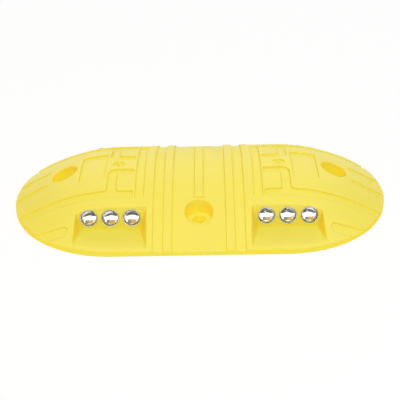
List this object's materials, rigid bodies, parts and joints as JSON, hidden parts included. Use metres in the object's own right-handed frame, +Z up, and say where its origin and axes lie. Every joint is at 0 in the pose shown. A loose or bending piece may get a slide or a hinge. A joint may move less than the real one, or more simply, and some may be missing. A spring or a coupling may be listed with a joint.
{
  "type": "road stud",
  "caption": "Low stadium-shaped moulded dome pinned to the road as a lane marker, with counterbored anchor holes and glass lenses in splayed pockets along both long sides.",
  "frame": {"origin": "on the road surface, under the middle of the body", "axes": "+X along the body to the right end, -Y to the front long side that the picture shows, +Z up"},
  "size_m": [0.43, 0.242, 0.047],
  "materials": {
    "body_plastic": "satin, as moulded",
    "lens_glass": "polished",
    "cup_metal": "bright, silvered inside"
  },
  "bodies": {
    "root": {"moulded_body": "body_plastic", "front_left_lens_1": "lens_glass", "front_left_lens_2": "lens_glass", "front_left_lens_3": "lens_glass", "front_right_lens_1": "lens_glass", "front_right_lens_2": "lens_glass", "front_right_lens_3": "lens_glass", "rear_left_lens_1": "lens_glass", "rear_left_lens_2": "lens_glass", "rear_left_lens_3": "lens_glass", "rear_right_lens_1": "lens_glass", "rear_right_lens_2": "lens_glass", "rear_right_lens_3": "lens_glass", "front_left_cup_1": "cup_metal", "front_left_cup_2": "cup_metal", "front_left_cup_3": "cup_metal", "front_right_cup_1": "cup_metal", "front_right_cup_2": "cup_metal", "front_right_cup_3": "cup_metal", "rear_left_cup_1": "cup_metal", "rear_left_cup_2": "cup_metal", "rear_left_cup_3": "cup_metal", "rear_right_cup_1": "cup_metal", "rear_right_cup_2": "cup_metal", "rear_right_cup_3": "cup_metal"}
  },
  "joints": []
}
